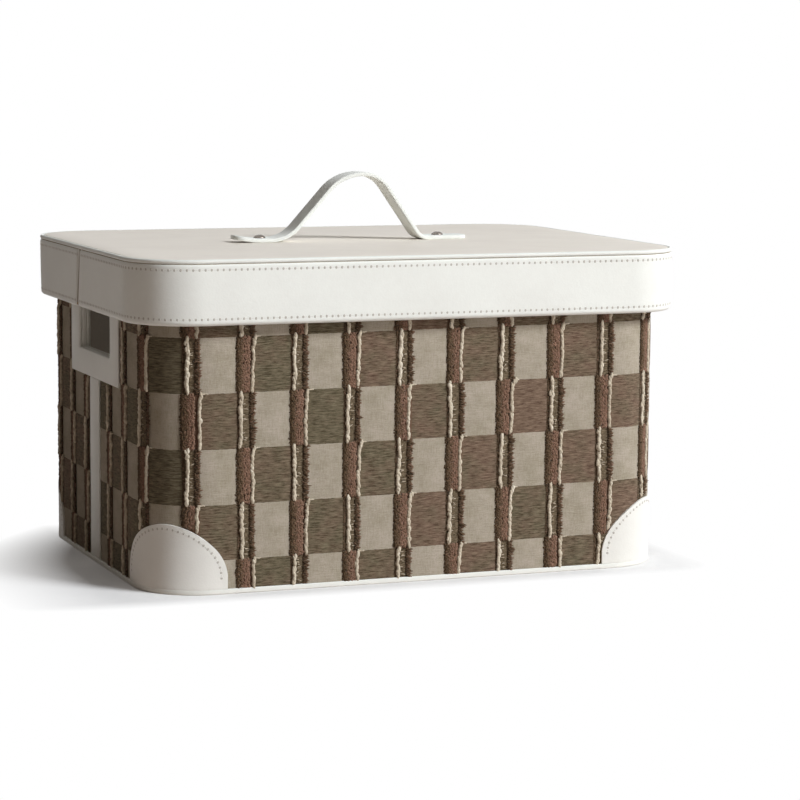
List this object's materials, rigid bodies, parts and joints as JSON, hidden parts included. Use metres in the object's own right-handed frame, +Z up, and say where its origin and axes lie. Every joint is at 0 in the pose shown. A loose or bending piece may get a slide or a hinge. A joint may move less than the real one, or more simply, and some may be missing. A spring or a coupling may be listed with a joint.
{
  "type": "lidded storage box",
  "caption": "Rectangular storage box with rounded corners, checked pile fabric walls, white leather trim, finger holes in the ends and a lift-off lid with a strap handle.",
  "frame": {"origin": "middle of the underside, on the surface that the box stands on", "axes": "+X along the long side, with the finger holes at both ends, -Y to the front, +Z up"},
  "size_m": [0.375, 0.285, 0.256],
  "materials": {
    "white_leather": "smooth matt, fine grain",
    "top_leather": "smooth matt, fine grain",
    "checked_fabric": "woven check with raised pile bands",
    "lining_cloth": "plain fine cloth",
    "fibre_board": "raw fibreboard",
    "polished_metal": "polished"
  },
  "bodies": {
    "box": {"base_leather": "white_leather", "side_strip_left": "white_leather", "side_strip_right": "white_leather", "grip_patch_left": "white_leather", "grip_patch_right": "white_leather", "grip_facing_left": "white_leather", "grip_facing_right": "white_leather", "corner_patch_front_left": "white_leather", "corner_patch_front_right": "white_leather", "corner_patch_rear_left": "white_leather", "corner_patch_rear_right": "white_leather", "fabric_front": "checked_fabric", "fabric_rear": "checked_fabric", "wall_lining": "lining_cloth", "base_lining": "lining_cloth", "base_board": "fibre_board", "wall_board_front": "fibre_board", "wall_board_rear": "fibre_board"},
    "lid": {"lid_board": "fibre_board", "lid_rim_board": "fibre_board", "lid_top_leather": "top_leather", "lid_band": "white_leather", "lid_welt": "white_leather", "lid_top_lining": "lining_cloth", "lid_side_lining": "lining_cloth", "handle_strap": "white_leather", "rivet_left": "polished_metal", "rivet_right": "polished_metal", "washer_left": "polished_metal", "washer_right": "polished_metal"}
  },
  "joints": [
    {"name": "lid_lift", "type": "slide", "parent": "box", "child": "lid", "axis": [0, 0, 1], "range_m": [0, 0.12]}
  ]
}
